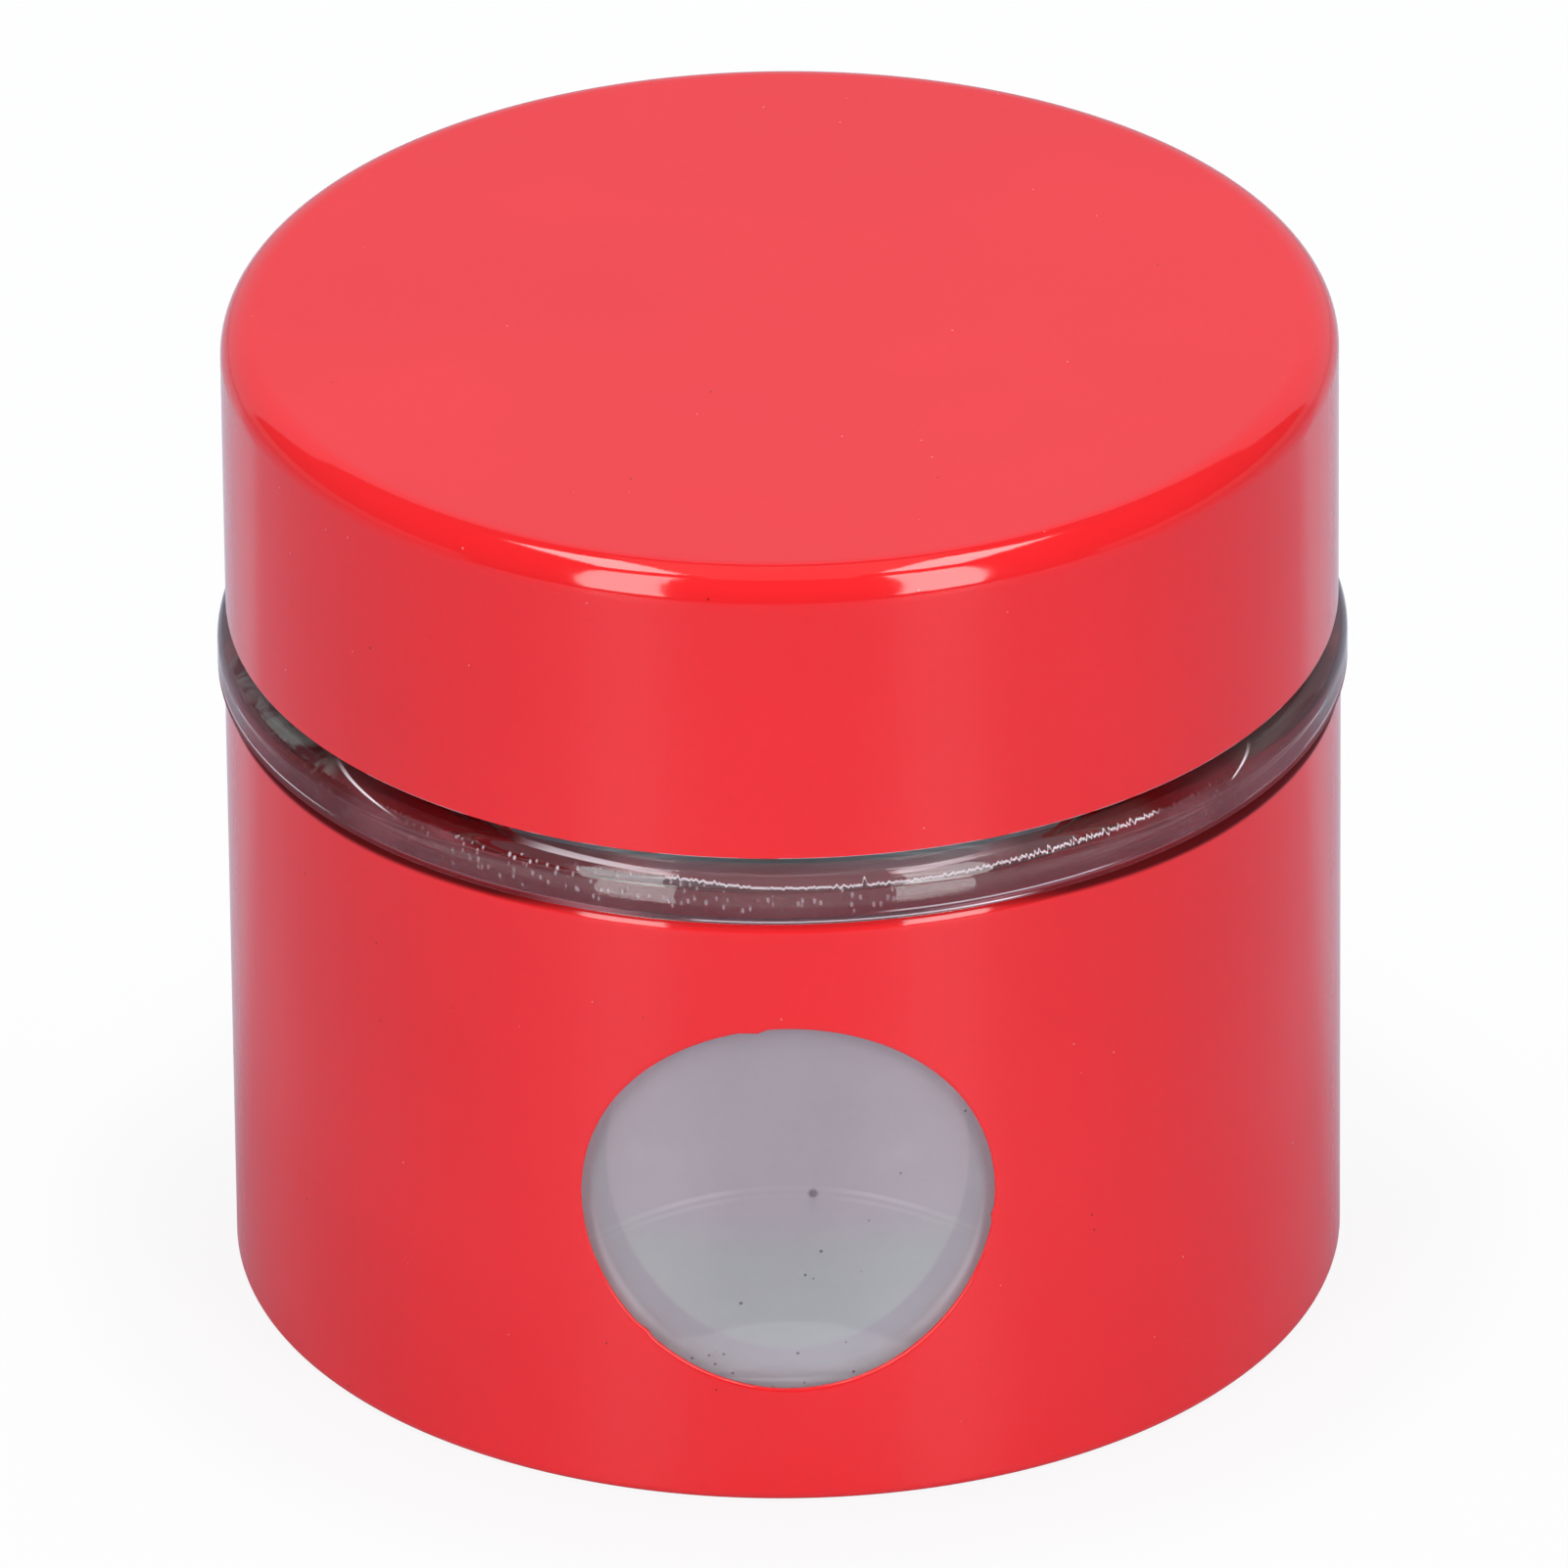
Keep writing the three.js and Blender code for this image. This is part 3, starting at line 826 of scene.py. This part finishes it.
def insert_outline():
    crown = lid_edge - lid_sheet - 0.15 * MM
    round_off = 0.4 * MM
    middle = (0, ceiling)
    plug_in = (plug_bore, ceiling)
    plug_end = arc((plug_bore + plug_radius) / 2, plug_foot + plug_round, plug_round, 180, 360, 15)
    plug_out = (plug_radius, ceiling)
    wall_top = (insert_bore, ceiling)
    inner_foot = arc(insert_bore + round_off, insert_low.z + round_off, round_off, 180, 270, 15)
    outer_foot = arc(insert_high.x - round_off, insert_low.z + round_off, round_off, 270, 360, 15)
    top = arc(lid_high.x - lid_edge, lid_high.z - lid_edge, crown, 0, 90, 10)
    end = (0, insert_high.z)
    return [
        middle,
        *straight(middle, plug_in, flat_step),
        plug_in,
        *straight(plug_in, plug_end[0], bead_step),
        *plug_end,
        *straight(plug_end[-1], plug_out, bead_step),
        plug_out,
        *straight(plug_out, wall_top, sheet_step),
        wall_top,
        *straight(wall_top, inner_foot[0], cap_thread_step),
        *inner_foot,
        *outer_foot,
        *straight(outer_foot[-1], top[0], flat_step),
        *top,
        *straight(top[-1], end, flat_step),
        end,
    ]


def dark_plastic():
    material, start, place = finish("dark_plastic")
    grain = place.noise(2500.0, 2.0)
    cloud = place.noise(120.0, 2.0)
    colour = cloud.rise(0.3, 0.7).blend((0.026, 0.023, 0.023, 1), (0.036, 0.032, 0.031, 1))
    plastic = start.node(
        "ShaderNodeBsdfPrincipled",
        None,
        {
            "Base Color": colour,
            "Roughness": 0.36 + cloud * 0.14,
            "IOR": 1.49,
            "Normal": grain.bump(0.15, 0.1 * MM),
        },
    )
    start.node("ShaderNodeOutputMaterial", None, {"Surface": plastic})
    return material


plastic = dark_plastic()
cap_level = insert_low.z + 1.9 * MM
half_pitch = 3 * MM
cap_delay = (cap_level - thread_level + half_pitch) / thread_form["Lead"] * 2 * math.pi
cap_thread = {
    **thread_form,
    "Wall Radius": insert_bore,
    "Side": -1.0,
    "First Angle": thread_angle + cap_delay,
    "First Level": cap_level,
    "Finish": plastic,
}
cap_lathe = {"Facets": 240, "Finish": plastic}
screw_cap = turned("screw_cap", insert_outline(), (lathe_tree, cap_lathe), (thread_tree, cap_thread))
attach(screw_cap, "lid")
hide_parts("thread_insert")


# Gasket: a soft ring of milky silicone, moulded with round corners and laid under the screw cap's
# ceiling, where the rim of the glass presses against it.
gasket_low, gasket_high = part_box("gasket")
gasket_bore = plug_radius + 0.25 * MM


def gasket_outline():
    bend = 0.35 * MM
    low, high = gasket_low.z + bend, gasket_high.z - bend
    left, right = gasket_bore + bend, gasket_high.x - bend
    corners = [(right, low, -90), (right, high, 0), (left, high, 90), (left, low, 180)]
    points = []
    for radius, level, start in corners:
        points += arc(radius, level, bend, start, start + 90, 15)
    return [*points, points[0]]


def milky_silicone():
    material, start, place = finish("milky_silicone")
    dust = place.noise(900.0, 3.0)
    colour = dust.rise(0.4, 0.75).blend((0.78, 0.76, 0.71, 1), (0.70, 0.68, 0.63, 1))
    silicone = start.node(
        "ShaderNodeBsdfPrincipled",
        None,
        {
            "Base Color": colour,
            "Roughness": 0.5 + dust * 0.2,
            "IOR": 1.41,
            "Subsurface Weight": 0.2,
            "Subsurface Scale": 1 * MM,
            "Normal": dust.bump(0.1, 0.1 * MM),
        },
    )
    start.node("ShaderNodeOutputMaterial", None, {"Surface": silicone})
    return material


seal = turned("seal", gasket_outline(), (lathe_tree, {"Facets": 180, "Finish": milky_silicone()}))
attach(seal, "seal")
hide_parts("gasket")


# Table: a plain white satin board that glows to the camera, so that it reads as white paper and still
# takes the canister's soft shadow. Its own tint shows in reflections and through the jar's base, and it
# is painted lighter behind the jar, as painted light for those reflections.
floor_reach = 4.0
floor_mesh = bpy.data.meshes.new("table")
floor_corners = [(x * floor_reach, y * floor_reach, 0) for x, y in ((-1, -1), (1, -1), (1, 1), (-1, 1))]
floor_mesh.from_pydata(floor_corners, [], [(0, 1, 2, 3)])
table = bpy.data.objects.new("table", floor_mesh)
bpy.context.scene.collection.objects.link(table)


def white_board():
    """White to the camera, with a tint of its own: mauve in front, and a lighter pale blue under and behind
    the jar as painted light.
    """
    material, start, place = finish("white_board")
    at = start.node("ShaderNodeSeparateXYZ", None, {0: place})
    radius = start.maths("SQRT", at["X"] * at["X"] + at["Y"] * at["Y"])
    ray = start.node("ShaderNodeLightPath")
    clear = radius.rise(sleeve_high.x, sleeve_high.x + 25 * MM)
    glowing = ray["Is Camera Ray"] * (0.9 + clear * 0.075) + ray["Is Transmission Ray"] * clear * 0.9
    # Painted light: the board is lighter behind the jar, so the canister's sides mirror a brighter table
    # there.
    behind = at["Y"] - abs(at["X"] - 4 * MM) * 0.9 + 45 * MM
    colour = behind.rise(-5 * MM, 25 * MM).blend((0.57, 0.49, 0.59, 1), (0.63, 0.75, 0.86, 1))
    satin = {"Base Color": colour, "Roughness": 0.4, "IOR": 1.45}
    board = start.node("ShaderNodeBsdfPrincipled", None, satin)
    glow = start.node("ShaderNodeEmission", None, {"Color": (1, 1, 1, 1), "Strength": 1.0})
    both = start.node("ShaderNodeMixShader", None, {0: glowing, 1: board, 2: glow})
    start.node("ShaderNodeOutputMaterial", None, {"Surface": both})
    return material


floor_mesh.materials.append(white_board())


# Studio: two tall softboxes either side of the camera, two long ones overhead, weak panels at the sides,
# above and behind, and a dim surround. The camera and the view through the glass see it as white.
def softbox(name, centre, facing, width, height, radiance, tint=(1, 1, 1)):
    """A lamp with its middle at centre, looking along facing."""
    lamp = bpy.data.lights.new(name, "AREA")
    lamp.shape = "RECTANGLE"
    lamp.size = width
    lamp.size_y = height
    lamp.energy = radiance * math.pi * width * height
    lamp.color = tint
    holder = bpy.data.objects.new(name, lamp)
    bpy.context.scene.collection.objects.link(holder)
    holder.location = centre
    holder.rotation_euler = Vector(facing).to_track_quat("-Z", "Y").to_euler()
    holder.visible_camera = False


front_level = 5.4
front_slant = 0.04
overhead_level = 6.6
backdrop_level = 0.53
ceiling_level = 0.4
side_level = 0.25
lean = math.radians(13)
leaning = (0, math.cos(lean), -math.sin(lean))
for side, name in ((-1, "left"), (1, "right")):
    level = front_level * (1 + front_slant * side)
    softbox("front_" + name, (side * 0.59, -0.82, 0.86), leaning, 0.38, 1.5, level)
    softbox("overhead_" + name, (side * 0.315, 0.02, 1.09), (0, 0, -1), 0.21, 0.52, overhead_level)
    softbox("side_" + name, (side * 2.0, 0.3, 0.22), (-side, 0, 0), 2.6, 0.44, side_level)
softbox("ceiling", (0, 0.1, 1.3), (0, 0, -1), 0.44, 1.2, ceiling_level)
softbox("backdrop", (0, 1.6, 1.0), (0, -1, 0), 4.0, 2.0, backdrop_level, (0.92, 0.86, 1))
world = bpy.data.worlds.new("surround")
world.use_nodes = True
world.node_tree.nodes.clear()
sky = Wire(world.node_tree)
ray = sky.node("ShaderNodeLightPath")
seen = ray["Is Camera Ray"] + ray["Is Transmission Ray"]
walls = sky.node("ShaderNodeBackground", None, {"Color": (1, 0.86, 1, 1), "Strength": 0.15})
white = sky.node("ShaderNodeBackground", None, {"Color": (1, 1, 1, 1), "Strength": 1.0})
surround = sky.node("ShaderNodeMixShader", None, {0: seen, 1: walls, 2: white})
sky.node("ShaderNodeOutputWorld", None, {"Surface": surround})
bpy.context.scene.world = world


# Camera: a long lens on the window's side, 28.7 degrees above the table, rolled by 0.6 degrees and set
# back so far that the canister fills most of a square picture.
camera_elevation = math.radians(28.686)
camera_roll = math.radians(-0.5895)
camera_distance = 2.314
image_size = 1601
focal_pixels = 26293
aim = Vector((0, 0, 45.5 * MM))
lens = bpy.data.cameras.new("camera")
lens.sensor_width = 36
lens.lens = lens.sensor_width * focal_pixels / image_size
camera = bpy.data.objects.new("camera", lens)
bpy.context.scene.collection.objects.link(camera)
back = Vector((0, -math.cos(camera_elevation), math.sin(camera_elevation)))
camera.location = aim + back * camera_distance
upright = Matrix.Rotation(math.pi / 2 - camera_elevation, 4, "X")
camera.rotation_euler = (upright @ Matrix.Rotation(camera_roll, 4, "Z")).to_euler()
bpy.context.scene.camera = camera
bpy.context.scene.view_settings.view_transform = "Standard"
